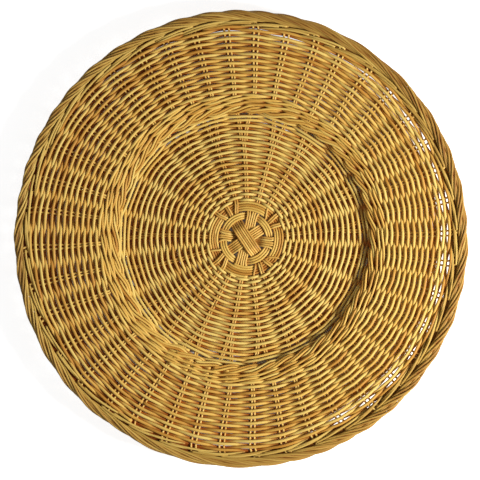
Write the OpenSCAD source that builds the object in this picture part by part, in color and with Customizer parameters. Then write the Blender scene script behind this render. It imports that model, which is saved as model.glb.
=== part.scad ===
// Woven cane charger plate: a flat base inside a sloping wall, a wide rim and a rolled border.
// The origin is at the middle of the underside, on the table, and +Z is up.

/* [Plate] */
// Diameter over the border
plate_d = 330; // [315:1:345]
// Diameter of the flat base inside the well, as a share of the plate's
base_share = 0.533; // [0.51:0.001:0.56]
// How far the wall of the well leans outward
wall_run = 16; // [14:1:19]
// How far the wall of the well climbs
wall_rise = 10; // [7:1:12]
// How far the rim climbs from the wall to the middle of the border rope
rim_rise = 9; // [5:1:12]

/* [Canes] */
// Diameter of the base sticks and bye-stakes
stick_d = 1.5; // [1.4:0.05:1.6]
// Diameter of the weaving canes
weaver_d = 1.8; // [1.7:0.05:1.9]
// Clearance between a stick and the weave round it
stick_gap = 0.05; // [0.04:0.01:0.08]
// Clearance between two sticks that run side by side
pair_gap = 0.1; // [0.08:0.01:0.2]

/* [Weave] */
// Wanted distance from row to row in the base
base_row = 1.74; // [1.7:0.01:1.9]
// Wanted distance from row to row in the twined wall
wall_row = 3.5; // [3.4:0.1:3.9]
// Wanted distance from row to row in the rim
rim_row = 2.12; // [2:0.02:2.4]
// Thickness of the woven sheet between its upper and lower rows
web_t = 2.5; // [2.4:0.05:2.6]
// Length of the openings that the loosely woven rows of the rim leave beside a pair
opening_l = 4.7; // [4:0.1:5.5]

/* [Centre] */
// Number of base sticks side by side in each crossed band
band_sticks = [5, 6, 5, 5];
// Radius of the innermost turn of the inner binding ring
ring_r = 17; // [17:0.1:18]
// Turns of cane in the inner binding ring
inner_turns = 3; // [2:1:3]
// Turns of cane in the outer binding ring
outer_turns = 4; // [3:1:4]

/* [Border] */
// Thickness of the rope round the edge
rope_d = 6.4; // [6:0.1:7.2]
// Rows of stake ends in the braid inside the rope
braid_rows = 3; // [2:1:3]

/* [Hidden] */
$fn = 64;

// Depth to which the lowest rows are pressed flat by the table
foot_flat = 0.3;
// Clearance between the lowest sticks of the centre and the table
knot_clear = 0.15;
// Flat sides round a stick
cane_sides = 8;
// Flat sides round a row of weave
row_sides = 12;
// Bends with less turn than this share of a unit vector count as straight
straight_share = 0.001;
// Level run of a stick past the last turn that it crosses
level_run = 1;
// Room between the two binding rings, in which the sticks change sides
ring_space = 4;
// Room between the outer binding ring and the base weave
base_space = 3;
// Distance between turns that are pressed together, as a share of their diameter
packed_share = 0.965;
// Thickness of the binding rings between their turns
ring_web_t = 1;
// Share of the base weave's rows in which the bye-stakes are held
fan_share = 0.29;
// Rows of twining in the wall
wall_rows = 5;
// Lengths of cane that the rim is woven from
rim_weavers = 3;
// Lower rows with openings, next to the rim's outermost row
opening_rows = 3;
// First of the pairs on the side of the rim that is woven loosely, and how many they are
loose_first = 7;
loose_pairs = 12;
// Weave left between an opening and the channel of its pair
opening_wall = 0.5;
// Gap between two neighbouring lengths of weave
seam = 0.1;
// Gap between the end of a stick and the bottom of its socket in the rope
socket_gap = 0.3;
// How far a cut runs past what it cuts
over = 1.2;
// Direction from which the stick ends and the rim's pairs are counted
layout_angle = 235;
// Level of each band in the stack at the centre, from 0 for the lowest
band_level = [1, 3, 0, 2];
// Which bands pass over the inner binding ring, 1 for over and -1 for under
band_side = [1, -1, 1, -1];
// Colours of the dry canes
stick_colour = [0.80, 0.62, 0.30];
weave_colour = [0.86, 0.68, 0.33];
border_colour = [0.83, 0.66, 0.32];

function sum_to(list, n) = n <= 0 ? 0 : list[n - 1] + sum_to(list, n - 1);

stick_count = sum_to(band_sticks, len(band_sticks));
end_count = 2 * stick_count;
rim_pairs = end_count - 1;
rim_step = 360 / rim_pairs;
bye_count = rim_pairs - 1;

// Height of a row's middle above or below the middle of the sticks
row_level = (stick_d + weaver_d) / 2 + stick_gap;
base_z = row_level + weaver_d / 2 - foot_flat;
knot_z = row_level + stick_d / 2 + knot_clear;
pair_pitch = stick_d + pair_gap;
band_pitch = stick_d + stick_gap;
packed_pitch = weaver_d * packed_share;
slot_w = pair_pitch + stick_d + 2 * stick_gap;
slot_h = stick_d + stick_gap;

// Radii of the centre, from the crossing of the bands outward
widest = max(band_sticks) * band_pitch / 2;
cross_run = widest * (1 + cos(45)) / sin(45) + stick_d / 2;
inner_last = ring_r + (inner_turns - 1) * packed_pitch;
outer_first = inner_last + ring_space;
outer_last = outer_first + (outer_turns - 1) * packed_pitch;

// Radii and heights of the woven sheet
base_r = plate_d * base_share / 2;
wall_top_r = base_r + wall_run;
wall_top_z = base_z + wall_rise;
rope_r = (plate_d - rope_d) / 2;
rope_z = wall_top_z + rim_rise;
wall_slope = atan2(wall_rise, wall_run);
rim_slope = atan2(rim_rise, rope_r - wall_top_r);
foot_corner = web_t / 2 * tan(wall_slope / 2) + seam;
top_corner = web_t / 2 * tan((wall_slope - rim_slope) / 2) + seam;

base_rows = floor((base_r - foot_corner - outer_last - base_space) / base_row);
base_pitch = (base_r - foot_corner - outer_last - base_space) / base_rows;
weave_start = base_r - foot_corner - base_rows * base_pitch;
fan_rows = round(base_rows * fan_share);
fan_r = base_r - foot_corner - fan_rows * base_pitch;
wall_length = norm([wall_run, wall_rise]) - foot_corner - top_corner;
wall_pitch = wall_length / max(wall_rows, floor(wall_length / wall_row));
wall_count = round(wall_length / wall_pitch);
rope_reach = rope_d / 2 + seam;
rim_length = norm([rope_r - wall_top_r, rim_rise]) - rope_reach - top_corner;
rim_rows = floor((rim_length - braid_rows * packed_pitch) / rim_row);
rim_pitch = (rim_length - braid_rows * packed_pitch) / rim_rows;
opening_w = 2 * (rim_pitch - stick_gap) - weaver_d;
opening_h = 2 * (row_level + weaver_d);

// Directions and sides of the stick ends, which are numbered round the plate from 0

// Direction in which a stick's end runs through the base
function spoke_angle(e) =
    layout_angle + (e < bye_count ? 2 * floor(e / 2) + 1 : rim_pairs - 1 / 2) * rim_step;
// Side of its pair on which a stick's end lies in the base
function spoke_side(e) = e % 2 == 0 ? -1 : 1;
// Direction in which a stick's end runs through the rim
function rim_angle(e) = layout_angle + (min(e, rim_pairs - 1) + 1 / 2) * rim_step;
// Side of its pair on which a stick's end lies in the rim
function rim_side(e) = e < bye_count ? -spoke_side(e) : spoke_side(e);

// Point at radius r in a direction, moved aside at right angles to it
function place(angle, r, aside, z) =
    [r * cos(angle) - aside * sin(angle), r * sin(angle) + aside * cos(angle), z];
// The point in plan
function plan(p) = [p.x, p.y];
// Point of the line from p through q at distance r from the middle of the plate
function at_radius(p, q, r, z) =
    let (a = plan(p), d = plan(q) - a, dd = d * d, ad = a * d,
         u = (sqrt(ad * ad - dd * (a * a - r * r)) - ad) / dd,
         s = a + u * d)
    [s.x, s.y, z];

// Points of one half of a stick, from the crossing to the border
function knot_points(e, start, side) =
    let (stop = place(spoke_angle(e), weave_start - level_run / 2, spoke_side(e) * pair_pitch / 2,
                      base_z),
         first = knot_z + side * row_level,
         second = knot_z - side * row_level)
    [start,
     at_radius(start, stop, ring_r - level_run, first),
     at_radius(start, stop, inner_last + level_run, first),
     at_radius(start, stop, outer_first - level_run, second),
     at_radius(start, stop, outer_last + level_run, second),
     stop];
// Points of a cane along the fan, the wall and the rim: offsets are aside from spoke and rim pair
function outer_points(e, spoke_off, rim_off) =
    let (fan = place(spoke_angle(e), fan_r, spoke_off, base_z),
         top = place(rim_angle(e), wall_top_r, rim_off, wall_top_z),
         tip_r = rope_r - socket_gap)
    [fan,
     at_radius(fan, top, base_r, base_z),
     top,
     place(rim_angle(e), tip_r, rim_off, rope_z - socket_gap * tan(rim_slope))];
function half_stick(e, start, side) =
    concat(knot_points(e, start, side),
           outer_points(e, spoke_side(e) * pair_pitch / 2, rim_side(e) * pair_pitch / 2));

function reversed(list) = [for (i = [len(list) - 1:-1:0]) list[i]];

// Unit vector along v
function unit(v) = v / norm(v);
// Ring of corners round point i of a line, in the plane that halves the bend there
function cane_ring(points, i, d) =
    let (last = len(points) - 1,
         from = max(i, 1),
         to = min(i, last - 1),
         into = unit(points[from] - points[from - 1]),
         out = unit(points[to + 1] - points[to]),
         middle = unit(into + out),
         side = unit(cross([0, 0, 1], middle)),
         up = cross(middle, side),
         bend = out - into,
         turned = norm(bend) > straight_share,
         stretch = turned ? (1 / (middle * out) - 1) / (bend * bend) : 0)
    [for (k = [0:cane_sides - 1])
        let (a = (k + 1 / 2) * 360 / cane_sides,
             arm = d / 2 * (cos(a) * side + sin(a) * up))
        points[i] + arm + stretch * (arm * bend) * bend];

// A length of cane through the points, mitred at its bends
module cane(points, d) {
    last = len(points) - 1;
    corners = [for (i = [0:last]) each cane_ring(points, i, d)];
    walls = [for (i = [0:last - 1], k = [0:cane_sides - 1])
        let (a = i * cane_sides + k,
             b = i * cane_sides + (k + 1) % cane_sides)
        each [[a, a + cane_sides, b + cane_sides], [a, b + cane_sides, b]]];
    start_cap = [for (k = [0:cane_sides - 1]) k];
    end_cap = [for (k = [cane_sides - 1:-1:0]) last * cane_sides + k];
    polyhedron(corners, concat(walls, [start_cap, end_cap]));
}

// A straight flat channel for a pair of canes, run past both of its ends
module channel(from, to) {
    run = to - from;
    translate(from)
        rotate([0, -asin(run.z / norm(run)), atan2(run.y, run.x)])
            translate([-over, -slot_w / 2, -slot_h / 2])
                cube([norm(run) + 2 * over, slot_w, slot_h]);
}

// Section of a stretch of weave along +X: a sheet with rows on its upper and lower side
module weave_section(first, rows, pitch, t, twined = false) {
    translate([first * pitch, 0]) {
        translate([seam / 2, -t / 2]) square([rows * pitch - seam, t]);
        for (i = [0:rows - 1])
            for (side = twined ? [-1, 1] : [2 * ((first + i) % 2) - 1])
                translate([(i + 1 / 2) * pitch, side * row_level])
                    circle(d = weaver_d, $fn = row_sides);
    }
}

// A ring of weave that starts at a point of the plate's section and climbs outward
module weave_ring(r, z, slope, lead, first, rows, pitch, t = web_t, twined = false) {
    color(weave_colour)
        rotate_extrude()
            translate([r, z])
                rotate(slope)
                    translate([lead, 0])
                        weave_section(first, rows, pitch, t, twined);
}

// Turns of cane that bind the crossed bands at the centre
module binding_ring(r, turns) {
    color(weave_colour)
        rotate_extrude()
            translate([r, knot_z]) {
                translate([0, -ring_web_t / 2]) square([(turns - 1) * packed_pitch, ring_web_t]);
                for (i = [0:turns - 1])
                    translate([i * packed_pitch, 0]) circle(d = weaver_d);
            }
}

// Rows of the flat base, pressed flat where they stand on the table
module base_rings(first, rows) {
    color(weave_colour)
        rotate_extrude()
            intersection() {
                translate([weave_start, base_z]) weave_section(first, rows, base_pitch, web_t);
                square([plate_d, plate_d]);
            }
}

// Channels of the spokes in the inner base
module spoke_channels() {
    for (e = [0:2:end_count - 1])
        channel(place(spoke_angle(e), weave_start, 0, base_z),
                place(spoke_angle(e), fan_r, 0, base_z));
}

// Middle lines of the pairs through fan, wall and rim
function pair_points(e) = outer_points(e, e < bye_count ? spoke_side(e) * pair_pitch : 0, 0);

// Channels of the rim's pairs along one stretch of their lines: 0 fan, 1 wall, 2 rim
module pair_channels(stretch) {
    for (e = [0:rim_pairs - 1]) {
        points = pair_points(e);
        channel(points[stretch], points[stretch + 1]);
    }
}

// Openings on both sides of the loose pairs, each in place of a stretch of a lower row
module openings(first, rows) {
    outermost = rim_rows - 1;
    innermost = outermost - 2 * opening_rows;
    for (i = [first:first + rows - 1])
        if (i % 2 == 0 && i >= innermost && i < outermost) {
            run = top_corner + (i + 1 / 2) * rim_pitch;
            r = wall_top_r + run * cos(rim_slope);
            turn = atan((slot_w / 2 + opening_wall + opening_l / 2) / r);
            for (e = [loose_first:loose_first + loose_pairs - 1], side = [-1, 1])
                rotate(rim_angle(e) + side * turn)
                    translate([r, 0, wall_top_z + run * sin(rim_slope)])
                        rotate([0, -rim_slope, 0])
                            cube([opening_w, opening_l, opening_h], center = true);
        }
}

// One base stick, whole from border to border
module base_stick(n) {
    band = [for (b = [0:len(band_sticks) - 1])
        if (n >= sum_to(band_sticks, b) && n < sum_to(band_sticks, b + 1)) b][0];
    first = sum_to(band_sticks, band);
    size = band_sticks[band];
    direction = layout_angle + (first + size / 2) * 360 / end_count;
    aside = (n - first - (size - 1) / 2) * band_pitch;
    z = knot_clear + stick_d / 2 + band_level[band] * band_pitch;
    near = half_stick(n, place(direction, cross_run, aside, z), band_side[band]);
    far_end = stick_count + 2 * first + size - 1 - n;
    far = half_stick(far_end, place(direction, -cross_run, aside, z), band_side[band]);
    color(stick_colour) cane(concat(reversed(far), near), stick_d);
}

// Two bye-stakes, one on each side of a spoke
module bye_stakes(n) {
    color(stick_colour)
        for (e = [2 * n, 2 * n + 1]) {
            points = outer_points(e, spoke_side(e) * 3 / 2 * pair_pitch, -rim_side(e) * pair_pitch / 2);
            tip = at_radius(points[0], points[1], fan_r + seam, base_z);
            cane(concat([tip], [for (i = [1:3]) points[i]]), stick_d);
        }
}

module inner_binding_ring() {
    binding_ring(ring_r, inner_turns);
}

module outer_binding_ring() {
    binding_ring(outer_first, outer_turns);
}

module base_weaver_1() {
    difference() {
        base_rings(0, ceil((base_rows - fan_rows) / 2));
        spoke_channels();
    }
}

module base_weaver_2() {
    start = ceil((base_rows - fan_rows) / 2);
    difference() {
        base_rings(start, base_rows - fan_rows - start);
        spoke_channels();
    }
}

module base_weaver_3() {
    difference() {
        base_rings(base_rows - fan_rows, fan_rows);
        pair_channels(0);
    }
}

module wall_twining() {
    difference() {
        weave_ring(base_r, base_z, wall_slope, foot_corner, 0, wall_count, wall_pitch, twined = true);
        pair_channels(1);
    }
}

// One of the lengths of cane that weave the rim, counted outward from 0
module rim_weaver(n) {
    first = round(n * rim_rows / rim_weavers);
    rows = round((n + 1) * rim_rows / rim_weavers) - first;
    difference() {
        weave_ring(wall_top_r, wall_top_z, rim_slope, top_corner, first, rows, rim_pitch);
        pair_channels(2);
        openings(first, rows);
    }
}

module border_braid() {
    lead = top_corner + rim_rows * rim_pitch;
    difference() {
        weave_ring(wall_top_r, wall_top_z, rim_slope, lead, 0, braid_rows, packed_pitch,
                   2 * row_level, true);
        pair_channels(2);
    }
}

module border_rope() {
    color(border_colour)
        difference() {
            rotate_extrude() translate([rope_r, rope_z]) circle(d = rope_d);
            for (e = [0:rim_pairs - 1])
                rotate(rim_angle(e))
                    translate([rope_r, 0, rope_z])
                        rotate([0, -rim_slope, 0])
                            translate([-rope_d, -slot_w / 2, -slot_h / 2])
                                cube([rope_d, slot_w, slot_h]);
        }
}

for (n = [1:stick_count])
    base_stick(n - 1);
for (n = [1:bye_count / 2])
    bye_stakes(n - 1);
inner_binding_ring();
outer_binding_ring();
base_weaver_1();
base_weaver_2();
base_weaver_3();
wall_twining();
for (n = [1:rim_weavers])
    rim_weaver(n - 1);
border_braid();
border_rope();
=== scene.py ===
import math

import bpy
import numpy as np
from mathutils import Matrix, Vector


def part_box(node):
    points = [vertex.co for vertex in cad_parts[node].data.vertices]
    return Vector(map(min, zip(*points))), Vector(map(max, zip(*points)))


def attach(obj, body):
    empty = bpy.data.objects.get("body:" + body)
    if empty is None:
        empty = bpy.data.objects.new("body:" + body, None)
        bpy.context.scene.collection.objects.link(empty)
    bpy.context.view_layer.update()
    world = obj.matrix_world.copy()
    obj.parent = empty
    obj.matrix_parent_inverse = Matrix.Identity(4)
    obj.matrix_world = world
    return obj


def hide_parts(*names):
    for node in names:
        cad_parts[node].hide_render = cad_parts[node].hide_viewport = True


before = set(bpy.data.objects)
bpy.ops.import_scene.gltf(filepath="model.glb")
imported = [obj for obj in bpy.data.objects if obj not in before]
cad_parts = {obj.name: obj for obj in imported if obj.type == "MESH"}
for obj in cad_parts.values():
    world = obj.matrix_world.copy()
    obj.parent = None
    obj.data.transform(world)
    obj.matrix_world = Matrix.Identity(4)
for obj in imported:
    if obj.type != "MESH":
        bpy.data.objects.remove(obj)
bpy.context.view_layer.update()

MM = 0.001
TURN = 2 * math.pi
SEED = 11
rng = np.random.default_rng(SEED)

# Canes
STICK_D = 1.55 * MM
RING_D = 1.8 * MM
BASE_D = 2.15 * MM
WALE_D = 1.8 * MM
RIM_D = 2.26 * MM
BORDER_D = 1.75 * MM
SIDES = 8  # corners round a cane
SAMPLES = 8  # points along a weaver from one spoke to the next
STICK_SAMPLE = 1.2 * MM  # length between the points along a stick

# Section of the plate, from the middle of the base to the border
ROPE_LOW, ROPE_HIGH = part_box("border_rope")
ROPE_D = ROPE_HIGH[2] - ROPE_LOW[2]
ROPE_R = ROPE_HIGH[0] - ROPE_D / 2
ROPE_Z = (ROPE_HIGH[2] + ROPE_LOW[2]) / 2
BASE_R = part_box("base_weaver_3")[1][0]
BASE_Z = 2.3 * MM  # height of the middle of the weave in the base
WALL_RUN = 16 * MM
WALL_RISE = 10 * MM
WALL_LENGTH = math.hypot(WALL_RUN, WALL_RISE)
WALL_SLOPE = math.atan2(WALL_RISE, WALL_RUN)
WALL_SAG = math.radians(15)  # how much steeper than its mean the wall is low down, and flatter high up
WALL_TOP_S = BASE_R + WALL_LENGTH
RIM_START_R = BASE_R + WALL_RUN
RIM_RUN = ROPE_R - BASE_R - WALL_RUN
RIM_RISE = ROPE_Z - BASE_Z - WALL_RISE
RIM_SLOPE = math.atan2(RIM_RISE, RIM_RUN)
BEND = 6 * MM  # length over which the sheet bends at the foot and the top of the wall
ROPE_S = WALL_TOP_S + math.hypot(RIM_RUN, RIM_RISE)
LINE_SAMPLES = 2000

# Spokes
SPOKES = 21
PAIRS = 41
PAIR_STEP = TURN / PAIRS
PAIR_PITCH = 1.6 * MM
PAIR_SPREAD = 1.3  # how much wider the pairs stand at the border, as a share of their pitch
LAYOUT_ANGLE = math.radians(235)
DRIFT_MEAN = -2.7  # degrees by which the spokes are off their regular places
DRIFT_WAVES = [(3.4, -55), (1.4, 104), (0.7, -36)]  # degrees of each slow wave of that drift, and its phase
SPOKE_SCATTER = math.radians(0.6)
PAIR_SCATTER = math.radians(0.35)
FAN_START = 70 * MM  # where the sticks of a spoke start to part
FAN_END = 106 * MM  # where each has reached its own pair
BYE_START = FAN_START + 2 * MM
BYE_ASIDE = 1.5 * PAIR_PITCH  # how far from the middle of a spoke a bye-stake starts
END_LEAN = 3.2 * MM  # how far the ends lean aside as they go into the border
END_LEAN_LENGTH = 13 * MM

# Centre
KNOT_CLEAR = 0.15 * MM  # room under the lowest band
KNOT_Z = 2.6 * MM  # height of the middle of the binding rings
BAND_PITCH = 1.58 * MM
BAND_STICKS = [5, 6, 5, 5]
BAND_LEVEL = [1, 3, 0, 2]  # from 0 for the lowest band to 3 for the top one
BAND_SIDE = [1, -1, 1, -1]  # 1 for a band that passes over the inner ring
CROSSING_R = 7.3 * MM  # where the sticks start to leave their level in the crossing
CROSSING_GAP = 0.8 * MM  # length before the inner ring at which they have reached its level
RING_GAP = 0.2 * MM
RING_SWING = 2.2 * MM  # length after the outer ring in which they come back to the sheet
RING_FAN = 1 * MM  # and by which they have reached their spoke
RING_LIFT = 0.86 * MM
RING_PITCH = 1.75 * MM
RING_SHARP = 2.4  # how quickly a ring changes from above to below
RING_OVERLAP = 0.04  # share of a turn by which a ring runs on at each end
RING_SAMPLES = 90  # points in each turn
INNER_RING_R = 15.2 * MM
INNER_TURNS = 3
OUTER_RING_R = 21.2 * MM
OUTER_TURNS = 4

# Plain weave
WEAVERS = 3  # lengths of cane in the base, and as many in the rim, as in the frame
LIFT = 1.55 * MM  # how far a weaver swings above and below the middle of the sheet
CENTRE_FLAT = 0.5  # how flat its strokes are on top, in the middle of the base
EDGE_FLAT = 1.8  # and at the edge of the base
RIM_FLAT = 0.8  # and in the rim
BASE_ROWS = 32
BASE_FIRST_S = 28.4 * MM
BASE_ARCH = 0.15 * MM  # how far a weaver stands out from the middle at each spoke
RIM_ROWS = 24
RIM_FIRST_S = 107.2 * MM
RIM_LAST_S = 156.1 * MM
RIM_ARCH = 0.3 * MM
RIM_BOW = -0.12 * MM  # how far outward a weaver leans over a pair, and inward under it
LOOSE_SIDE = math.radians(-7)  # direction in which the rim is woven loosely
LOOSE_EDGE = (0.1, 0.75)  # cosines of the angle from it at which the rim starts to loosen, and is loosest
LOOSE_ARCH = 0.5 * MM  # how much further it stands out there
LOOSE_BOW = 2.0 * MM  # how far a weaver is pulled inward under a pair in the loose last rows
LOOSE_ROWS = 18 * MM  # length at the end of the rim in which the rows open
LOOSE_FULL = 6 * MM  # and in which they are fully open

# Wales in the wall
WALE_PERIOD = 3
WALE_LIFT = 1.5 * MM
WALE_SHARP = 2.2  # how quickly a rod changes from above to below
WALE_OVER = 0.25  # makes a rod stay longer above the pairs than below
WALE_RISE = 0.4 * MM  # how much higher a stroke is where it leaves than where it comes up
LOW_WALE_S = 97.2 * MM
LOW_WALE_HALF = 2.1 * MM  # how far a rod swings inward and outward
HIGH_WALE_S = 103.5 * MM
HIGH_WALE_HALF = 1.1 * MM
HIGH_WALE_ROUNDS = 2
HIGH_WALE_PITCH = 3.4 * MM
FOOT_GAP = 4.4 * MM  # from the last row of the base to the middle of the low wale
BASE_LAST_S = LOW_WALE_S - FOOT_GAP
GROOVE_ROWS = 3  # rows on the underside between the base and the wall
GROOVE_IN = 2.0 * MM  # how far inside the middle of the low wale the first of them lies
GROOVE_PITCH = 1.3 * MM
UNDER_DROP = 1.5 * MM  # how far below the sheet the rows on its underside lie
CLOSED_TURN = 1.01 * TURN  # a closed row runs on a little past its start

# Arches inside the border
ARCH_CANES = 2
ARCH_SAMPLES = 22
ARCH_SPAN = math.radians(12)
ARCH_SPAN_SCATTER = 0.1
ARCH_STEP = math.radians(2.4)  # from one cane of a pair to the next
ARCH_SCATTER = math.radians(0.5)
ARCH_IN = 5.2 * MM  # how far inside the rope they start
ARCH_PITCH = 1.3 * MM
ARCH_OVERRUN = 2.8 * MM  # how much further in they end
ARCH_CURVE = 1.9  # power by which they bend inward toward their ends
ARCH_SHIFT = 0.25 * MM
ARCH_HEIGHT = 2.3 * MM
ARCH_ENTRY = 0.1  # share of its rise and fall that an arch has behind it at its start
ARCH_DIP = 0.8 * MM  # how much lower it ends
ARCH_WIDTHS = (0.85, 1.05)  # least and most width of a cane, as a share of the usual one
UNDER_ROWS = 5  # rows on the underside, below the arches
UNDER_IN = 3.6 * MM  # how far inside the rope the first of them lies
UNDER_PITCH = 1.3 * MM

# Border rope
ROPE_SAMPLES = 2881
ROPE_FLAT = 1.1 * MM  # how much wider than high the rope is laid, toward the middle of the plate
BUNDLE_CANES = 3
BUNDLE_SAMPLES = 34
BUNDLE_PASS = math.radians(12.5)  # arc in which a bundle crosses the top of the rope
BUNDLE_START = math.radians(245)  # where round the rope it comes out
BUNDLE_WRAP = math.radians(330)  # how far round the rope it winds
BUNDLE_SPREAD = 0.27  # step between its canes, as a share of the step between pairs
BUNDLE_ROUND = 0.6 * MM  # how much lower its outer canes lie
BUNDLE_SCATTER = 0.42 * MM  # how much lower one bundle lies than another
BUNDLE_WIDTHS = (0.88, 1.0)
TUCK = 0.35  # share by which the ends of a bundle are drawn in
TUCK_ARC = math.radians(50)  # length of those ends, round the rope
LAY_WAVES = [(0.28, 2, 2.2), (0.12, 5, 0)]  # how much faster the rope turns: amount, number and phase
ROPE_CORES = 3
CORE_D = 1.15 * BORDER_D
CORE_OUT = 1 * MM  # from the middle of the rope to that of a core
CORE_TURN = 0.5  # direction of the first core from the middle of the rope

# Slow waves of hand work: amount, how many go round the plate, length outward for a radian, and phase
ROW_WAVES = [(0.5 * MM, 3, math.inf, 1), (0.35 * MM, 8, 11 * MM, 0), (0.25 * MM, 17, -7 * MM, 2)]
SPOKE_WAVES = [(0.4 * MM, 5, 13 * MM, 0), (0.3 * MM, 11, -9 * MM, 0)]
WAVES_GROW = (20 * MM, 80 * MM)  # radii between which they grow
WAVES_FADE = (ROPE_R - 9 * MM, ROPE_R - 3 * MM)
KNOT_OFF = 2.3 * MM  # how far toward +X the centre was worked off the middle of the well
KNOT_OFF_FADE = (22 * MM, 84 * MM)
WELL_OFF = 1.7 * MM  # how far toward +X the well was worked off the middle of the plate
WELL_OFF_FADE = (95 * MM, 150 * MM)

# Wandering of single canes: how far apart it changes, in spokes, and how much
RING_NOISE = (2, 0.08 * MM)
ROW_NOISE = (3.3, 0.06 * MM)
ROW_LONG_NOISE = (19, 0.08 * MM)
LOOSE_NOISE = (2.4, 0.2)
WALE_NOISE = (2.7, 0.14 * MM)
UNDER_NOISE = (0.5, 0.1 * MM)  # this one in radians

# Tones, from 0 for deep to 1 for pale
MEAN_TONE = 0.5
CANE_SPREAD = 0.16  # how much the tone varies from cane to cane
WEAVER_SPREAD = 0.17
BORDER_SPREAD = 0.15
WEAVER_LENGTH = 0.9  # metres of cane from one change of tone to the next
WALE_LENGTH = 0.5
RING_LENGTH = 0.25
STICK_PAINTED_LIGHT = 0.35  # painted light: how much paler the sticks are in the rim, where they show only between the weavers, in their shade
BASE_PALE = 0.3  # how much paler the weavers of the base are than those of the rim
WALL_DEEP = 0.08  # how much deeper the wall is than the rim
ARCH_PALE = 0.25
BORDER_PAINTED_LIGHT_AND_SHADE = 0.22  # painted light and shade: how much paler the border is away from the loose rows, and deeper beside them

# Painted shade in the hollows of the weave: height over the middle of the sheet at which canes are fully
# darkened by it, and at which they are clean
FULL_SHADE_HEIGHT = -0.75 * MM
NO_SHADE_HEIGHT = 1.12 * MM
PAINTED_SHADE_COLOUR = (0.52, 0.18, 0.025)  # what is left of a colour under full painted shade in the hollows
KNOT_LESS_SHADE = 0.5  # share by which the painted shade in the hollows is lighter inside the inner ring
LOOSE_LESS_SHADE = 0.45  # share by which the painted shade is lighter in the loose part of the rim
ROPE_EDGE = (ROPE_R - 0.6 * ROPE_D, ROPE_R - 0.3 * ROPE_D)  # radii between which the rope takes over the painted shade
ROPE_SHADE_REACH = 2.2 * MM  # distance from the middle of the rope at which its canes are half hidden in painted shade
ROPE_SHADE_LINES = 1.4  # how much wider the lines of painted shade between its canes are than those of the weave
NEARLY_NONE = 0.01 * MM  # keeps the distance from the middle of the rope above zero
LEAST_R = 1 * MM  # and the distance from the middle of the plate

# Looks of the canes: deep, golden and pale colour, and roughness
STICK_LOOK = ((0.42, 0.2, 0.035), (0.68, 0.39, 0.08), (0.8, 0.56, 0.15), 0.55)
WEAVER_LOOK = ((0.48, 0.22, 0.03), (0.7, 0.43, 0.088), (0.72, 0.515, 0.135), 0.55)
BORDER_LOOK = ((0.31, 0.16, 0.028), (0.46, 0.275, 0.052), (0.62, 0.42, 0.1), 0.6)
TONE_STOPS = (0.05, 0.5, 0.95)  # tones at which those three colours show
SHINE = 0.25  # level of the gloss, which is half of what a varnished face has
FIBRES = (160, 2600, 2600)  # marks in a metre, along the cane and across it
FIBRE_DETAIL = 3
FIBRE_AMOUNT = 0.5
BLOTCHES = (55, 240, 240)
BLOTCH_DETAIL = 2
BLOTCH_AMOUNT = 0.9
BUMP_STRENGTH = 0.35
BUMP_DEPTH = 0.12 * MM
PATTERN_LENGTH = 5  # metres of the pattern, somewhere in which each cane starts

# Camera and light
IMAGE_PX = 480
PLATE_PX = 459  # width of the plate in the image
OFF_CENTRE_PX = (-1.8, 1.1)  # how far right and up the plate lies in the image
CAMERA_TILT = math.radians(6.8)
CAMERA_REACH = 1.5  # metres from the camera to the plate
SENSOR = 36  # millimetres
KEY_AZIMUTH = math.radians(-15)  # direction of the lamp, from +X
KEY_HEIGHT = math.radians(35)  # its angle above the floor
KEY_REACH = 0.9  # its distance in metres
KEY_SIZE = 0.25  # its width in metres
KEY_POWER = 11.7
FILL = 0.21  # strength of the even light from all round
FLOOR_HALF = 12  # metres, so that low views meet no edge
FLOOR_DROP = 0.05 * MM  # keeps the floor clear of the foot of the plate
FLOOR_WHITE = 0.9
FLOOR_GLOW = 0.8  # what the camera sees of the open floor on top of its lit colour
GLOW_START = 147 * MM  # distance from the shifted middle at which the glow starts, which on the side of the loose rows lies under the rim as painted light
GLOW_END = 152 * MM
PAINTED_LIGHT_SHIFT = -10 * MM  # the edge of the glow lies this much toward -X, so that it shows through the loose rows as painted light on the floor under the rim


def smooth(x):
    """From 0 to 1 with level ends."""
    x = np.clip(x, 0, 1)
    return x * x * (3 - 2 * x)


def ramp(x, start, end):
    """From 0 at start to 1 at end."""
    return smooth((x - start) / (end - start))


# Section line of the sheet: radius, height and slope against its own length
LINE_S = np.linspace(0, ROPE_S + BEND, LINE_SAMPLES)
LINE_SLOPE = WALL_SLOPE * ramp(LINE_S, BASE_R - BEND / 2, BASE_R + BEND / 2)
LINE_SLOPE -= (WALL_SLOPE - RIM_SLOPE) * ramp(LINE_S, WALL_TOP_S - BEND / 2, WALL_TOP_S + BEND / 2)
LINE_SLOPE += WALL_SAG * np.sin(TURN * np.clip((LINE_S - BASE_R) / WALL_LENGTH, 0, 1))
LINE_STEP = LINE_S[1] - LINE_S[0]
LINE_R = np.concatenate([[0], np.cumsum(np.cos(LINE_SLOPE[:-1])) * LINE_STEP])
LINE_Z = BASE_Z + np.concatenate([[0], np.cumsum(np.sin(LINE_SLOPE[:-1])) * LINE_STEP])


def ring_points(r, angle, z):
    """Points at radius r and height z, one in each direction."""
    return np.stack([r * np.cos(angle), r * np.sin(angle), np.broadcast_to(z, angle.shape)], axis=1)


def sheet(s, angle, h=0.0, aside=0.0):
    """Points at length s along the section, in a direction, h above the sheet and moved aside."""
    slope = np.interp(s, LINE_S, LINE_SLOPE)
    r = np.interp(s, LINE_S, LINE_R) - h * np.sin(slope)
    z = np.interp(s, LINE_S, LINE_Z) + h * np.cos(slope)
    x = r * np.cos(angle) - aside * np.sin(angle)
    y = r * np.sin(angle) + aside * np.cos(angle)
    return np.stack([x, y, z], axis=1)


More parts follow.
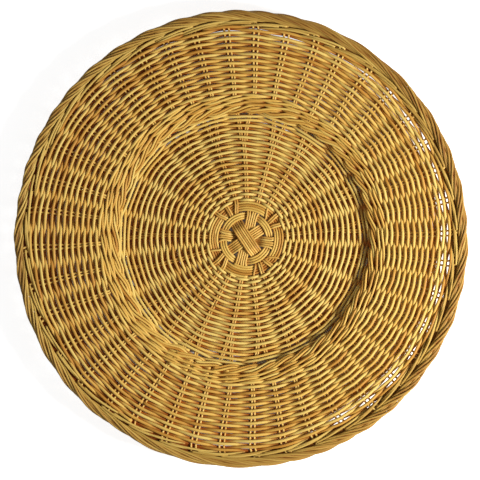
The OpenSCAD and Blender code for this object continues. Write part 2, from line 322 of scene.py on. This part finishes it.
def drifted(angle):
    """A regular direction moved to where the hand-set spokes drift round the plate."""
    drift = np.full(np.shape(angle), DRIFT_MEAN)
    for number, (amount, phase) in enumerate(DRIFT_WAVES, start=1):
        drift = drift + amount * np.cos(number * angle - math.radians(phase))
    return angle + np.radians(drift)


def waves_at(waves, r, angle):
    """Sum of slow waves at a place of the plate."""
    total = 0
    for amount, number, length, phase in waves:
        total = total + amount * np.sin(number * angle + r / length + phase)
    return total


def settled(points):
    """Points as hand work has moved them, which takes neighbouring canes along alike."""
    x, y, z = points.T
    r = np.hypot(x, y)
    angle = np.arctan2(y, x)
    weight = ramp(r, *WAVES_GROW) * (1 - ramp(r, *WAVES_FADE))
    outward_by = waves_at(ROW_WAVES, r, angle) * weight
    aside_by = waves_at(SPOKE_WAVES, r, angle) * weight
    r = r + outward_by
    angle = angle + aside_by / np.maximum(r, WAVES_GROW[0])
    centre = KNOT_OFF * (1 - ramp(r, *KNOT_OFF_FADE)) + WELL_OFF * (1 - ramp(r, *WELL_OFF_FADE))
    return ring_points(r, angle, z) + np.outer(centre, [1, 0, 0])


spoke_numbers = np.arange(SPOKES)
regular_spokes = np.where(spoke_numbers < SPOKES - 1, 2 * spoke_numbers + 1, PAIRS - 0.5) * PAIR_STEP
SPOKE_DIRS = drifted(LAYOUT_ANGLE + regular_spokes) + rng.normal(0, SPOKE_SCATTER, SPOKES)
PAIR_DIRS = drifted(LAYOUT_ANGLE + (np.arange(PAIRS) + 0.5) * PAIR_STEP)
PAIR_DIRS = PAIR_DIRS + rng.normal(0, PAIR_SCATTER, PAIRS)


def direction_at(dirs, u):
    """Direction for a place u counted in spokes, which may run on for many turns."""
    count = len(dirs)
    closed = np.append(dirs, dirs[0] + TURN)
    return np.interp(u % count, np.arange(count + 1), closed) + TURN * np.floor(u / count)


def loose_at(angle):
    """From 0 to 1 toward the side on which the rim is woven loosely."""
    return ramp(np.cos(angle - LOOSE_SIDE), *LOOSE_EDGE)


def painted_shade_at(points, arm, radius):
    """Painted shade at each corner: how deep in the hollows of the weave it lies, from 0 where it faces out
    to 1 within.
    """
    x, y, z = points.T
    r = np.maximum(np.hypot(x, y), LEAST_R)
    outward_x = x / r
    outward_y = y / r
    slope = np.interp(r, LINE_R, LINE_SLOPE)
    normal = np.stack([-np.sin(slope) * outward_x, -np.sin(slope) * outward_y, np.cos(slope)], axis=1)
    height = (z - np.interp(r, LINE_R, LINE_Z)) * np.cos(slope)
    from_core = np.hypot(r - ROPE_R, z - ROPE_Z) + NEARLY_NONE
    level = (r - ROPE_R) / from_core
    away = np.stack([level * outward_x, level * outward_y, (z - ROPE_Z) / from_core], axis=1)
    in_rope = ramp(r, *ROPE_EDGE)
    normal = normal + (away - normal) * in_rope[:, None]
    height = height + (from_core - ROPE_SHADE_REACH - height) * in_rope
    facing = np.einsum("ijk,ik->ij", arm, normal)
    # painted shade lines between the canes of the rope
    turned = np.clip(2 * facing - ROPE_SHADE_LINES * in_rope[:, None], -1, 1)
    exposed = height[:, None] * turned + radius[:, None] * np.abs(facing)
    # less painted shade in the loose rows and inside the inner ring
    pale = LOOSE_LESS_SHADE * loose_at(np.arctan2(y, x)) * ramp(r, RIM_START_R, RIM_START_R + BEND) * (1 - in_rope)
    pale = pale + KNOT_LESS_SHADE * (1 - ramp(r, INNER_RING_R - RING_D, INNER_RING_R))
    return ((1 - ramp(exposed, FULL_SHADE_HEIGHT, NO_SHADE_HEIGHT)) * (1 - pale)[:, None]).ravel()


def slow_noise(u, step, amount):
    """Smooth random values along u, with a new one at each step."""
    knots = np.arange(u[0] - step, u[-1] + 2 * step, step)
    values = rng.normal(0, amount, len(knots))
    place = (u - knots[0]) / step
    low = np.floor(place).astype(int)
    return values[low] + (values[low + 1] - values[low]) * smooth(place - low)


def length_along(points):
    """Length of a cane from its start to each of its points."""
    steps = np.linalg.norm(np.diff(points, axis=0), axis=1)
    return np.concatenate([[0], np.cumsum(steps)])


def cane(points, d, tone=None):
    """One length of cane: its points, and the radius and tone at each."""
    points = settled(np.asarray(points))
    radius = np.full(len(points), d / 2)
    if tone is None:
        tone = rng.normal(MEAN_TONE, CANE_SPREAD)
    tone = np.broadcast_to(np.asarray(tone, dtype=float), (len(points),))
    return points, radius, tone


def weaver_tone(points, length=WEAVER_LENGTH):
    """Tones along a long weaver, which is many canes in turn."""
    along = length_along(points)
    tones = rng.normal(MEAN_TONE, WEAVER_SPREAD, int(along[-1] / length) + 1)
    return tones[(along / length).astype(int)]


def stick_tone_and_light(points):
    """Tones along a stick, with painted light in the rim."""
    tone = rng.normal(MEAN_TONE, CANE_SPREAD)
    # painted light on the sticks where they lie in the shade of the weavers
    return tone + STICK_PAINTED_LIGHT * ramp(np.hypot(points[:, 0], points[:, 1]), FAN_START, FAN_END)


def border_tone_and_shading(angle):
    """Tone of a stake end in the border, with painted light on the side away from the loose rows and painted
    shade beside them.
    """
    # painted shade on the side of the loose rows, painted light on the far side
    return rng.normal(MEAN_TONE, BORDER_SPREAD) - BORDER_PAINTED_LIGHT_AND_SHADE * np.cos(angle - LOOSE_SIDE)


def tube_mesh(points, radius, tone):
    """Corners, faces and corner values of a tube with flat cut ends."""
    ahead = np.gradient(points, axis=0)
    ahead /= np.linalg.norm(ahead, axis=1, keepdims=True)
    side = np.cross([0, 0, 1], ahead)
    side /= np.linalg.norm(side, axis=1, keepdims=True)
    up = np.cross(ahead, side)
    around = np.arange(SIDES) * TURN / SIDES
    arm = np.cos(around)[None, :, None] * side[:, None, :] + np.sin(around)[None, :, None] * up[:, None, :]
    corners = points[:, None, :] + radius[:, None, None] * arm
    corners[:, :, 2] = np.maximum(corners[:, :, 2], 0)
    along = length_along(points) + rng.uniform(0, PATTERN_LENGTH)
    straight = np.empty_like(corners)
    straight[:, :, 0] = along[:, None]
    straight[:, :, 1] = radius[:, None] * np.cos(around)
    straight[:, :, 2] = radius[:, None] * np.sin(around)
    count = len(points)
    ring = np.arange(count - 1)[:, None] * SIDES
    corner = np.arange(SIDES)[None, :]
    following = (corner + 1) % SIDES
    quads = np.stack([ring + corner, ring + following, ring + SIDES + following, ring + SIDES + corner],
                     axis=2)
    faces = quads.reshape(-1, 4).tolist()
    faces.append(list(range(SIDES - 1, -1, -1)))
    faces.append(list(range((count - 1) * SIDES, count * SIDES)))
    # painted shade for the hollows of the weave
    painted_shade = painted_shade_at(points, arm, radius)
    return corners.reshape(-1, 3), faces, straight.reshape(-1, 3), np.repeat(tone, SIDES), painted_shade


def piece(name, canes, material, slot, *nodes):
    """One object of the plate, made of one or more lengths of cane."""
    corners, faces, straights, tones, painted_shades = [], [], [], [], []
    caps = []
    base = 0
    for points, radius, tone in canes:
        tube_corners, tube_faces, straight, tube_tones, painted_shade = tube_mesh(points, radius, tone)
        corners.append(tube_corners)
        straights.append(straight)
        tones.append(tube_tones)
        painted_shades.append(painted_shade)
        faces.extend([[corner + base for corner in face] for face in tube_faces])
        caps.extend([len(faces) - 2, len(faces) - 1])
        base += len(tube_corners)
    mesh = bpy.data.meshes.new(name)
    mesh.from_pydata(np.concatenate(corners).tolist(), [], faces)
    mesh.shade_smooth()
    for cap in caps:
        mesh.polygons[cap].use_smooth = False
    layer = mesh.attributes.new("straight", "FLOAT_VECTOR", "POINT")
    layer.data.foreach_set("vector", np.concatenate(straights).astype(np.float32).ravel())
    # the tone and the painted shade are kept at the corners
    for attribute, values in (("tone", tones), ("painted_shade", painted_shades)):
        layer = mesh.attributes.new(attribute, "FLOAT", "POINT")
        layer.data.foreach_set("value", np.concatenate(values).astype(np.float32))
    mesh.materials.append(material)
    obj = bpy.data.objects.new(name, mesh)
    bpy.context.collection.objects.link(obj)
    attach(obj, "root")
    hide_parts(*nodes)


def node_material(name):
    """A new material and its node tree."""
    material = bpy.data.materials.new(name)
    material.use_nodes = True
    return material, material.node_tree


def math_node(tree, operation, *values):
    """Output of a math node whose inputs are sockets or plain numbers."""
    node = tree.nodes.new("ShaderNodeMath")
    node.operation = operation
    for socket, value in zip(node.inputs, values):
        if isinstance(value, bpy.types.NodeSocket):
            tree.links.new(value, socket)
        else:
            socket.default_value = value
    return node.outputs[0]


def attribute_node(tree, name):
    """A node that gives one of the values kept at the corners of the canes."""
    node = tree.nodes.new("ShaderNodeAttribute")
    node.attribute_name = name
    return node


def stretched_noise(tree, place, marks, detail):
    """Noise with so many marks in a metre along and across the cane."""
    stretch = tree.nodes.new("ShaderNodeVectorMath")
    stretch.operation = "MULTIPLY"
    stretch.inputs[1].default_value = marks
    tree.links.new(place, stretch.inputs[0])
    node = tree.nodes.new("ShaderNodeTexNoise")
    node.inputs["Scale"].default_value = 1
    node.inputs["Detail"].default_value = detail
    tree.links.new(stretch.outputs["Vector"], node.inputs["Vector"])
    return node.outputs["Fac"]


def cane_material(name, deep, golden, pale, roughness):
    """Dry round cane: fibres along it, blotches, a tone of its own for each length, and painted shade in the
    hollows.
    """
    material, tree = node_material(name)
    links = tree.links
    shader = tree.nodes["Principled BSDF"]
    shader.inputs["Roughness"].default_value = roughness
    shader.inputs["Specular IOR Level"].default_value = SHINE

    place = attribute_node(tree, "straight").outputs["Vector"]
    fibres = stretched_noise(tree, place, FIBRES, FIBRE_DETAIL)
    blotches = stretched_noise(tree, place, BLOTCHES, BLOTCH_DETAIL)
    varied = math_node(tree, "MULTIPLY_ADD", blotches, BLOTCH_AMOUNT, -BLOTCH_AMOUNT / 2)
    lined = math_node(tree, "MULTIPLY_ADD", fibres, FIBRE_AMOUNT, -FIBRE_AMOUNT / 2)
    total = math_node(tree, "ADD", attribute_node(tree, "tone").outputs["Fac"], varied)
    total = math_node(tree, "ADD", total, lined)

    colours = tree.nodes.new("ShaderNodeValToRGB")
    stops = colours.color_ramp.elements
    stops[0].position = TONE_STOPS[0]
    stops[0].color = (*deep, 1)
    stops[1].position = TONE_STOPS[2]
    stops[1].color = (*pale, 1)
    middle = stops.new(TONE_STOPS[1])
    middle.color = (*golden, 1)
    links.new(total, colours.inputs["Fac"])

    # darkens the colour by the painted shade at each corner
    shade_mix = tree.nodes.new("ShaderNodeMix")
    shade_mix.data_type = "RGBA"
    shade_mix.blend_type = "MULTIPLY"
    shade_mix.inputs["B"].default_value = (*PAINTED_SHADE_COLOUR, 1)
    links.new(attribute_node(tree, "painted_shade").outputs["Fac"], shade_mix.inputs["Factor"])
    links.new(colours.outputs["Color"], shade_mix.inputs["A"])
    links.new(shade_mix.outputs["Result"], shader.inputs["Base Color"])

    bump = tree.nodes.new("ShaderNodeBump")
    bump.inputs["Strength"].default_value = BUMP_STRENGTH
    bump.inputs["Distance"].default_value = BUMP_DEPTH
    links.new(fibres, bump.inputs["Height"])
    links.new(bump.outputs["Normal"], shader.inputs["Normal"])
    return material


STICK = cane_material("stick_cane", *STICK_LOOK)
WEAVER = cane_material("weaving_cane", *WEAVER_LOOK)
BORDER = cane_material("border_cane", *BORDER_LOOK)


# Stick ends are numbered round the plate from 0, as in the frame
def spoke_of(end):
    return min(end // 2, SPOKES - 1)


def spoke_side(end):
    return -1 if end % 2 == 0 else 1


def rim_side(end):
    return -spoke_side(end) if end < PAIRS - 1 else spoke_side(end)


def outward(end, s, spoke_off, rim_off):
    """Points of a cane in the sheet, from its place at a spoke to its place in a rim pair."""
    turned = ramp(s, FAN_START, FAN_END)
    spoke_dir = SPOKE_DIRS[spoke_of(end)]
    to_pair = (PAIR_DIRS[min(end, PAIRS - 1)] - spoke_dir + math.pi) % TURN - math.pi
    lean = END_LEAN * ramp(s, ROPE_S - END_LEAN_LENGTH, ROPE_S)
    spread = 1 + PAIR_SPREAD * ramp(s, FAN_END, ROPE_S)
    aside = spoke_off + (rim_off * spread - spoke_off) * turned + lean
    return sheet(s, spoke_dir + to_pair * turned, 0.0, aside)


def half_stick(end, heading, aside, level, side):
    """Points of one half of a base stick, from the middle of the plate to the border."""
    s = np.arange(0, ROPE_S, STICK_SAMPLE)
    out = outward(end, s, spoke_side(end) * PAIR_PITCH / 2, rim_side(end) * PAIR_PITCH / 2)
    band = np.stack([s * math.cos(heading) - aside * math.sin(heading),
                     s * math.sin(heading) + aside * math.cos(heading)], axis=1)
    inner_last = INNER_RING_R + (INNER_TURNS - 1) * RING_PITCH
    outer_last = OUTER_RING_R + (OUTER_TURNS - 1) * RING_PITCH
    fanned = ramp(s, INNER_RING_R, outer_last + RING_FAN)[:, None]
    plan = band * (1 - fanned) + out[:, :2] * fanned
    stack_z = KNOT_CLEAR + STICK_D / 2 + level * BAND_PITCH
    first_z = KNOT_Z + side * RING_LIFT
    second_z = KNOT_Z - side * RING_LIFT
    z = stack_z + (first_z - stack_z) * ramp(s, CROSSING_R, INNER_RING_R - CROSSING_GAP)
    z = z + (second_z - first_z) * ramp(s, inner_last + RING_GAP, OUTER_RING_R - RING_GAP)
    z = z + (out[:, 2] - z) * ramp(s, outer_last + RING_GAP, outer_last + RING_GAP + RING_SWING)
    return np.column_stack([plan, z])


def bands():
    """For each crossing band, the number of its first stick, how many it has, and its direction."""
    first = 0
    for size in BAND_STICKS:
        yield first, size, LAYOUT_ANGLE + (first + size / 2) * TURN / (2 * sum(BAND_STICKS))
        first += size


def base_sticks():
    """Canes that run right across the plate, side by side in the crossing bands."""
    for band, (first, size, heading) in enumerate(bands()):
        for i in range(size):
            aside = (i - (size - 1) / 2) * BAND_PITCH
            far_end = sum(BAND_STICKS) + first + size - 1 - i
            near = half_stick(first + i, heading, aside, BAND_LEVEL[band], BAND_SIDE[band])
            far = half_stick(far_end, heading + math.pi, -aside, BAND_LEVEL[band], BAND_SIDE[band])
            points = np.concatenate([far[:0:-1], near])
            stick = cane(points, STICK_D, stick_tone_and_light(points))
            number = first + i + 1
            piece(f"stick_{number}", [stick], STICK, "stick_cane", f"base_stick_{number}")


def bye_stakes():
    """Canes pushed in beside the stick ends, two in each piece."""
    s = np.arange(BYE_START, ROPE_S, STICK_SAMPLE)
    for n in range((PAIRS - 1) // 2):
        canes = []
        for end in (2 * n, 2 * n + 1):
            points = outward(end, s, spoke_side(end) * BYE_ASIDE, -rim_side(end) * PAIR_PITCH / 2)
            canes.append(cane(points, STICK_D, stick_tone_and_light(points)))
        piece(f"bye_stakes_pair_{n + 1}", canes, STICK, "stick_cane", f"bye_stakes_{n + 1}")


def binding_ring(name, r, turns, side, node):
    """A spiral of cane that passes over and under the eight arms of the crossed bands."""
    arms = [heading for first, size, heading in bands()]
    arms = np.array(arms + [heading + math.pi for heading in arms])
    turn = np.linspace(-RING_OVERLAP, turns + RING_OVERLAP, turns * RING_SAMPLES)
    u = turn * len(arms)
    wave = np.cos(math.pi * u) * BAND_SIDE[0]
    lift = -side * RING_LIFT * np.tanh(RING_SHARP * wave)
    radius = r + (turn - 0.5) * RING_PITCH + slow_noise(u, *RING_NOISE)
    points = ring_points(radius, direction_at(arms, u), KNOT_Z + lift)
    piece(name, [cane(points, RING_D, weaver_tone(points, RING_LENGTH))], WEAVER, "weaving_cane", node)


def plain_weave(name, node, dirs, d, first_s, last_s, rows, arch, from_row, to_row):
    """A stretch of plain weave, one spiral cane that passes over one spoke and under the next."""
    count = len(dirs)
    u = np.arange(from_row * count * SAMPLES, to_row * count * SAMPLES + 1) / SAMPLES
    pitch = (last_s - first_s) / (rows - 1)
    s = np.clip(first_s + pitch * (u / count - 0.5), first_s, last_s)
    s = s + slow_noise(u, *ROW_NOISE) + slow_noise(u, *ROW_LONG_NOISE)
    in_base = s < BASE_R + BEND
    flat = CENTRE_FLAT + (EDGE_FLAT - CENTRE_FLAT) * ramp(s, FAN_START, BASE_R)
    flat = np.where(in_base, flat, RIM_FLAT)
    over = np.cos(math.pi * u)
    h = LIFT * np.tanh(flat * over) / np.tanh(flat)
    angle = direction_at(dirs, u)
    loose = loose_at(angle) * ~in_base
    opened = loose * ramp(s, RIM_LAST_S - LOOSE_ROWS, RIM_LAST_S - LOOSE_FULL)
    arched = (arch + LOOSE_ARCH * loose) * over ** 2
    pulled = LOOSE_BOW * opened * (1 + slow_noise(u, *LOOSE_NOISE)) * np.minimum(over, 0) ** 2
    points = sheet(s + arched + RIM_BOW * h / LIFT - pulled, angle, h)
    tone = weaver_tone(points) + BASE_PALE * in_base
    piece(name, [cane(points, d, tone)], WEAVER, "weaving_cane", node)


def base_weave():
    """The base in its lengths of cane, which end where those of the frame end."""
    reach = BASE_LAST_S - BASE_FIRST_S
    ends = [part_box(f"base_weaver_{n}")[1][0] - BASE_FIRST_S for n in range(1, WEAVERS)]
    rows = [0] + [round(end / reach * BASE_ROWS) for end in ends] + [BASE_ROWS]
    for n in range(WEAVERS):
        plain_weave(f"base_weave_{n + 1}", f"base_weaver_{n + 1}", SPOKE_DIRS, BASE_D, BASE_FIRST_S,
                    BASE_LAST_S, BASE_ROWS, BASE_ARCH, rows[n], rows[n + 1])


def rim_weave():
    """The rim in lengths of cane of as many rows each."""
    rows = [round(RIM_ROWS * n / WEAVERS) for n in range(WEAVERS + 1)]
    for n in range(WEAVERS):
        plain_weave(f"rim_weave_{n + 1}", f"rim_weaver_{n + 1}", PAIR_DIRS, RIM_D, RIM_FIRST_S,
                    RIM_LAST_S, RIM_ROWS, RIM_ARCH, rows[n], rows[n + 1])


def wale_rod(rod, middle, half, shift):
    """One rod of a wale: over two pairs and under one, sloping like a strand of rope."""
    u = np.arange(rod * SAMPLES, (rod + PAIRS + 1) * SAMPLES) / SAMPLES
    phase = TURN / WALE_PERIOD * (u - rod - 0.5)
    h = WALE_LIFT * np.tanh(WALE_SHARP * (np.cos(phase) + WALE_OVER)) + WALE_RISE * np.sin(phase)
    s = middle - half * np.sin(phase) + shift + slow_noise(u, *WALE_NOISE)
    points = sheet(s, direction_at(PAIR_DIRS, u), h)
    return cane(points, WALE_D, weaver_tone(points, WALE_LENGTH) - WALL_DEEP)


def under_row(s, d):
    """A row on the underside of the sheet, which closes the view through it."""
    angle = np.linspace(0, CLOSED_TURN, PAIRS * SAMPLES)
    return cane(sheet(s + slow_noise(angle, *UNDER_NOISE), angle, -UNDER_DROP), d)


def wall_wales():
    """A low wale of paired canes, two high ones of single canes, and the rows under the groove."""
    canes = []
    for rod in range(WALE_PERIOD):
        for shift in (-WALE_D / 2, WALE_D / 2):
            canes.append(wale_rod(rod, LOW_WALE_S, LOW_WALE_HALF, shift))
        for turn in range(HIGH_WALE_ROUNDS):
            shift = (turn - (HIGH_WALE_ROUNDS - 1) / 2) * HIGH_WALE_PITCH
            canes.append(wale_rod(rod, HIGH_WALE_S, HIGH_WALE_HALF, shift))
    for row in range(GROOVE_ROWS):
        canes.append(under_row(LOW_WALE_S - GROOVE_IN - row * GROOVE_PITCH, WALE_D))
    piece("wall_wales", canes, WEAVER, "weaving_cane", "wall_twining")


def border_arches():
    """Stake ends that arch along the inside of the rope and are tucked down beside a later pair."""
    canes = []
    share = np.linspace(0, 1, ARCH_SAMPLES)
    h = ARCH_HEIGHT * np.sin(math.pi * (ARCH_ENTRY + (1 - ARCH_ENTRY) * share)) - ARCH_DIP * share
    for pair in range(PAIRS):
        for i in range(ARCH_CANES):
            span = ARCH_SPAN * rng.normal(1, ARCH_SPAN_SCATTER)
            angle = PAIR_DIRS[pair] + span * share + ARCH_STEP * i + rng.normal(0, ARCH_SCATTER)
            s = ROPE_S - ARCH_IN - ARCH_PITCH * i - ARCH_OVERRUN * share ** ARCH_CURVE
            s = s + rng.normal(0, ARCH_SHIFT)
            d = BORDER_D * rng.uniform(*ARCH_WIDTHS)
            canes.append(cane(sheet(s, angle, h), d, border_tone_and_shading(angle[0]) + ARCH_PALE))
    for row in range(UNDER_ROWS):
        canes.append(under_row(ROPE_S - UNDER_IN - row * UNDER_PITCH, BORDER_D))
    piece("border_arches", canes, BORDER, "border_cane", "border_braid")


def rope_lay():
    """Directions round the plate, and how far the rope has turned at each of them."""
    grid = np.linspace(0, 2 * TURN, ROPE_SAMPLES)
    faster = sum(amount * np.sin(number * grid + phase) for amount, number, phase in LAY_WAVES)
    rate = math.pi / BUNDLE_PASS * (1 + faster)
    return grid, np.concatenate([[0], np.cumsum(rate[:-1] * np.diff(grid))])


def border_rope():
    """Bundles of stake ends laid round the edge, each wound over the one before like a rope."""
    canes = []
    grid, wound = rope_lay()
    turned = np.linspace(0, BUNDLE_WRAP, BUNDLE_SAMPLES)
    rope_angle = BUNDLE_START - turned
    tucked = 1 - ramp(turned, 0, TUCK_ARC) + ramp(turned, BUNDLE_WRAP - TUCK_ARC, BUNDLE_WRAP)
    for pair in range(PAIRS):
        bundle_reach = (ROPE_D - BORDER_D) / 2 - abs(rng.normal(0, BUNDLE_SCATTER))
        for i in range(BUNDLE_CANES):
            apart = i - (BUNDLE_CANES - 1) / 2
            begin = (pair + apart * BUNDLE_SPREAD) * PAIR_STEP % TURN
            angle = np.interp(np.interp(begin, grid, wound) + turned, wound, grid)
            rope_reach = (bundle_reach - BUNDLE_ROUND * apart ** 2) * (1 - TUCK * tucked)
            r = ROPE_R - ROPE_FLAT + (rope_reach + ROPE_FLAT) * np.cos(rope_angle)
            points = ring_points(r, angle, ROPE_Z + rope_reach * np.sin(rope_angle))
            d = BORDER_D * rng.uniform(*BUNDLE_WIDTHS)
            canes.append(cane(points, d, border_tone_and_shading(angle[0])))
    angle = np.linspace(0, CLOSED_TURN, PAIRS * SAMPLES)
    for core in range(ROPE_CORES):
        rope_angle = core * TURN / ROPE_CORES + CORE_TURN
        r = ROPE_R - ROPE_FLAT + CORE_OUT * math.cos(rope_angle)
        canes.append(cane(ring_points(r, angle, ROPE_Z + CORE_OUT * math.sin(rope_angle)), CORE_D))
    piece("border_rope_canes", canes, BORDER, "border_cane", "border_rope")


def floor_material():
    """White floor that keeps the shadow, stays white to the camera beyond the plate, and shows painted light
    under the loose rows of the rim.
    """
    material, tree = node_material("floor")
    nodes = tree.nodes
    links = tree.links
    nodes.clear()
    diffuse = nodes.new("ShaderNodeBsdfDiffuse")
    diffuse.inputs["Color"].default_value = (FLOOR_WHITE, FLOOR_WHITE, FLOOR_WHITE, 1)

    # the glow reaches under the loose rows of the rim, where it is painted light on the floor
    from_middle = nodes.new("ShaderNodeVectorMath")
    from_middle.operation = "SUBTRACT"
    from_middle.inputs[1].default_value = (PAINTED_LIGHT_SHIFT, 0, 0)
    links.new(nodes.new("ShaderNodeNewGeometry").outputs["Position"], from_middle.inputs[0])
    reach = nodes.new("ShaderNodeVectorMath")
    reach.operation = "LENGTH"
    links.new(from_middle.outputs["Vector"], reach.inputs[0])
    beyond = nodes.new("ShaderNodeMapRange")
    beyond.inputs["From Min"].default_value = GLOW_START
    beyond.inputs["From Max"].default_value = GLOW_END
    links.new(reach.outputs["Value"], beyond.inputs["Value"])

    path = nodes.new("ShaderNodeLightPath")
    mirrored = math_node(tree, "MAXIMUM", path.outputs["Is Glossy Ray"], path.outputs["Is Transmission Ray"])
    seen = math_node(tree, "MAXIMUM", path.outputs["Is Camera Ray"], mirrored)
    amount = math_node(tree, "MULTIPLY", seen, FLOOR_GLOW)
    glow = nodes.new("ShaderNodeEmission")
    links.new(math_node(tree, "MULTIPLY", amount, beyond.outputs["Result"]), glow.inputs["Strength"])

    both = nodes.new("ShaderNodeAddShader")
    links.new(diffuse.outputs[0], both.inputs[0])
    links.new(glow.outputs[0], both.inputs[1])
    out = nodes.new("ShaderNodeOutputMaterial")
    links.new(both.outputs[0], out.inputs["Surface"])
    return material


def studio():
    """White floor, even light from all round, and one soft lamp."""
    mesh = bpy.data.meshes.new("floor")
    outline = [(-FLOOR_HALF, -FLOOR_HALF, 0), (FLOOR_HALF, -FLOOR_HALF, 0),
               (FLOOR_HALF, FLOOR_HALF, 0), (-FLOOR_HALF, FLOOR_HALF, 0)]
    mesh.from_pydata(outline, [], [(0, 1, 2, 3)])
    mesh.materials.append(floor_material())
    floor = bpy.data.objects.new("floor", mesh)
    floor.location.z = -FLOOR_DROP
    bpy.context.collection.objects.link(floor)

    world = bpy.data.worlds.new("studio")
    bpy.context.scene.world = world
    world.use_nodes = True
    background = world.node_tree.nodes["Background"]
    background.inputs["Color"].default_value = (1, 1, 1, 1)
    background.inputs["Strength"].default_value = FILL

    lamp = bpy.data.lights.new("key", "AREA")
    lamp.shape = "DISK"
    lamp.size = KEY_SIZE
    lamp.energy = KEY_POWER
    key = bpy.data.objects.new("key", lamp)
    level_reach = KEY_REACH * math.cos(KEY_HEIGHT)
    key.location = (level_reach * math.cos(KEY_AZIMUTH), level_reach * math.sin(KEY_AZIMUTH),
                    KEY_REACH * math.sin(KEY_HEIGHT))
    key.rotation_euler = (0, math.pi / 2 - KEY_HEIGHT, KEY_AZIMUTH)
    bpy.context.collection.objects.link(key)


def camera():
    """Camera almost straight above the plate, tilted a little toward +X."""
    pixel = 2 * (ROPE_R + ROPE_D / 2) / PLATE_PX
    data = bpy.data.cameras.new("camera")
    data.sensor_width = SENSOR
    data.lens = SENSOR * CAMERA_REACH / (IMAGE_PX * pixel)
    data.dof.use_dof = False
    obj = bpy.data.objects.new("camera", data)
    aim_x = -OFF_CENTRE_PX[0] * pixel
    aim_y = -OFF_CENTRE_PX[1] * pixel
    obj.location = (aim_x + CAMERA_REACH * math.sin(CAMERA_TILT), aim_y,
                    ROPE_Z + CAMERA_REACH * math.cos(CAMERA_TILT))
    obj.rotation_euler = (0, CAMERA_TILT, 0)
    bpy.context.collection.objects.link(obj)
    bpy.context.scene.camera = obj


bpy.context.scene.view_settings.view_transform = "Standard"
camera()
studio()
base_sticks()
bye_stakes()
binding_ring("inner_ring", INNER_RING_R, INNER_TURNS, 1, "inner_binding_ring")
binding_ring("outer_ring", OUTER_RING_R, OUTER_TURNS, -1, "outer_binding_ring")
base_weave()
wall_wales()
rim_weave()
border_arches()
border_rope()
